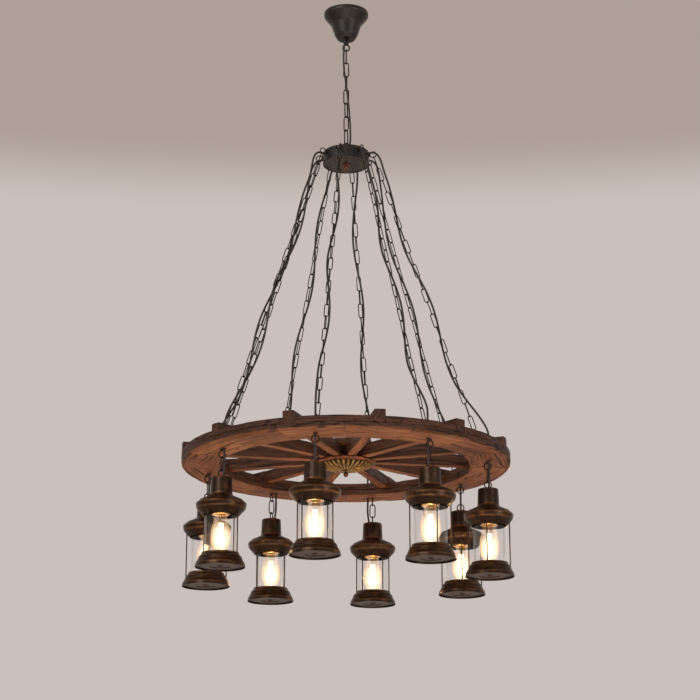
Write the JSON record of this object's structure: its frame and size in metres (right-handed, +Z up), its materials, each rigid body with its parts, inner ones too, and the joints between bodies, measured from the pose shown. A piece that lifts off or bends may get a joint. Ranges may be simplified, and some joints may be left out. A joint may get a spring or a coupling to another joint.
{
  "type": "multi arm chandelier",
  "caption": "Wooden cartwheel hung from a ceiling canopy by chains, with glass-chimney lanterns hanging from its rim.",
  "frame": {"origin": "middle of the ceiling face, between the bracket's two bolt holes", "axes": "+Z up into the ceiling, +X along the ceiling bracket; the view in the picture looks along +Y"},
  "size_m": [0.8, 0.8, 1.4986],
  "materials": {
    "black_steel": "satin black paint",
    "zinc_steel": "zinc plated",
    "rust_bronze": "rubbed dark bronze",
    "chain_bronze": "dark bronze, rubbed",
    "copper_bronze": "antique copper",
    "antique_brass": "antique brass",
    "carved_wood": "distressed, brown stain",
    "clear_glass": "clear",
    "amber_lamp": "clear filament lamp in a brass holder",
    "cord_black": "black sheathed cord",
    "terminal_plastic": "moulded white plastic"
  },
  "bodies": {
    "canopy": {"ceiling_bracket": "zinc_steel", "canopy_shell": "black_steel", "canopy_loop": "black_steel", "terminal_block": "terminal_plastic"},
    "drop": {"drop_chain": "chain_bronze", "feed_cord": "cord_black", "hub_loop": "black_steel"},
    "wheel": {"hub_shell": "black_steel", "hub_plate": "black_steel", "hub_finial": "copper_bronze", "hub_eyes": "chain_bronze", "side_chains": "chain_bronze", "lantern_cords": "cord_black", "rim_lower_ply": "carved_wood", "rim_upper_ply": "carved_wood", "spokes": "carved_wood", "centre_block": "carved_wood", "rosette": "antique_brass", "rosette_finial": "copper_bronze", "wheel_eyes": "chain_bronze"},
    "link_1": {"lantern_1_link": "chain_bronze"},
    "lantern_1": {"lantern_1_shade": "rust_bronze", "lantern_1_glass": "clear_glass", "lantern_1_cage": "rust_bronze", "lantern_1_lamp": "amber_lamp"},
    "link_2": {"lantern_2_link": "chain_bronze"},
    "lantern_2": {"lantern_2_shade": "rust_bronze", "lantern_2_glass": "clear_glass", "lantern_2_cage": "rust_bronze", "lantern_2_lamp": "amber_lamp"},
    "link_3": {"lantern_3_link": "chain_bronze"},
    "lantern_3": {"lantern_3_shade": "rust_bronze", "lantern_3_glass": "clear_glass", "lantern_3_cage": "rust_bronze", "lantern_3_lamp": "amber_lamp"},
    "link_4": {"lantern_4_link": "chain_bronze"},
    "lantern_4": {"lantern_4_shade": "rust_bronze", "lantern_4_glass": "clear_glass", "lantern_4_cage": "rust_bronze", "lantern_4_lamp": "amber_lamp"},
    "link_5": {"lantern_5_link": "chain_bronze"},
    "lantern_5": {"lantern_5_shade": "rust_bronze", "lantern_5_glass": "clear_glass", "lantern_5_cage": "rust_bronze", "lantern_5_lamp": "amber_lamp"},
    "link_6": {"lantern_6_link": "chain_bronze"},
    "lantern_6": {"lantern_6_shade": "rust_bronze", "lantern_6_glass": "clear_glass", "lantern_6_cage": "rust_bronze", "lantern_6_lamp": "amber_lamp"},
    "link_7": {"lantern_7_link": "chain_bronze"},
    "lantern_7": {"lantern_7_shade": "rust_bronze", "lantern_7_glass": "clear_glass", "lantern_7_cage": "rust_bronze", "lantern_7_lamp": "amber_lamp"},
    "link_8": {"lantern_8_link": "chain_bronze"},
    "lantern_8": {"lantern_8_shade": "rust_bronze", "lantern_8_glass": "clear_glass", "lantern_8_cage": "rust_bronze", "lantern_8_lamp": "amber_lamp"}
  },
  "joints": [
    {"name": "chandelier_swing", "type": "hinge", "parent": "canopy", "child": "drop", "pos_m": [0, 0, -0.10255], "axis": [0, 1, 0], "range_deg": [-12, 12]},
    {"name": "wheel_turn", "type": "hinge", "parent": "drop", "child": "wheel", "pos_m": [0, 0, -0.391], "axis": [0, 0, 1], "range_deg": [-90, 90]},
    {"name": "link_1_swing", "type": "hinge", "parent": "wheel", "child": "link_1", "pos_m": [-0.06916, -0.33994, -1.2372], "axis": [0, -1, 0], "range_deg": [-15, 15]},
    {"name": "lantern_1_swing", "type": "hinge", "parent": "link_1", "child": "lantern_1", "pos_m": [-0.06916, -0.33994, -1.2689], "axis": [1, 0, 0], "range_deg": [-15, 15]},
    {"name": "link_2_swing", "type": "hinge", "parent": "wheel", "child": "link_2", "pos_m": [0.19147, -0.28928, -1.2372], "axis": [-0.342, -0.9397, 0], "range_deg": [-15, 15]},
    {"name": "lantern_2_swing", "type": "hinge", "parent": "link_2", "child": "lantern_2", "pos_m": [0.19147, -0.28928, -1.2689], "axis": [0.9397, -0.342, 0], "range_deg": [-15, 15]},
    {"name": "link_3_swing", "type": "hinge", "parent": "wheel", "child": "link_3", "pos_m": [0.33994, -0.06916, -1.2372], "axis": [0.1736, -0.9848, 0], "range_deg": [-15, 15]},
    {"name": "lantern_3_swing", "type": "hinge", "parent": "link_3", "child": "lantern_3", "pos_m": [0.33994, -0.06916, -1.2689], "axis": [0.9848, 0.1736, 0], "range_deg": [-15, 15]},
    {"name": "link_4_swing", "type": "hinge", "parent": "wheel", "child": "link_4", "pos_m": [0.28928, 0.19147, -1.2372], "axis": [0, -1, 0], "range_deg": [-15, 15]},
    {"name": "lantern_4_swing", "type": "hinge", "parent": "link_4", "child": "lantern_4", "pos_m": [0.28928, 0.19147, -1.2689], "axis": [1, 0, 0], "range_deg": [-15, 15]},
    {"name": "link_5_swing", "type": "hinge", "parent": "wheel", "child": "link_5", "pos_m": [0.06916, 0.33994, -1.2372], "axis": [-1, 0, 0], "range_deg": [-15, 15]},
    {"name": "lantern_5_swing", "type": "hinge", "parent": "link_5", "child": "lantern_5", "pos_m": [0.06916, 0.33994, -1.2689], "axis": [0, -1, 0], "range_deg": [-15, 15]},
    {"name": "link_6_swing", "type": "hinge", "parent": "wheel", "child": "link_6", "pos_m": [-0.19147, 0.28928, -1.2372], "axis": [0.9397, -0.342, 0], "range_deg": [-15, 15]},
    {"name": "lantern_6_swing", "type": "hinge", "parent": "link_6", "child": "lantern_6", "pos_m": [-0.19147, 0.28928, -1.2689], "axis": [0.342, 0.9397, 0], "range_deg": [-15, 15]},
    {"name": "link_7_swing", "type": "hinge", "parent": "wheel", "child": "link_7", "pos_m": [-0.33994, 0.06916, -1.2372], "axis": [0.342, -0.9397, 0], "range_deg": [-15, 15]},
    {"name": "lantern_7_swing", "type": "hinge", "parent": "link_7", "child": "lantern_7", "pos_m": [-0.33994, 0.06916, -1.2689], "axis": [0.9397, 0.342, 0], "range_deg": [-15, 15]},
    {"name": "link_8_swing", "type": "hinge", "parent": "wheel", "child": "link_8", "pos_m": [-0.28928, -0.19147, -1.2372], "axis": [0.5, -0.866, 0], "range_deg": [-15, 15]},
    {"name": "lantern_8_swing", "type": "hinge", "parent": "link_8", "child": "lantern_8", "pos_m": [-0.28928, -0.19147, -1.2689], "axis": [0.866, 0.5, 0], "range_deg": [-15, 15]}
  ]
}
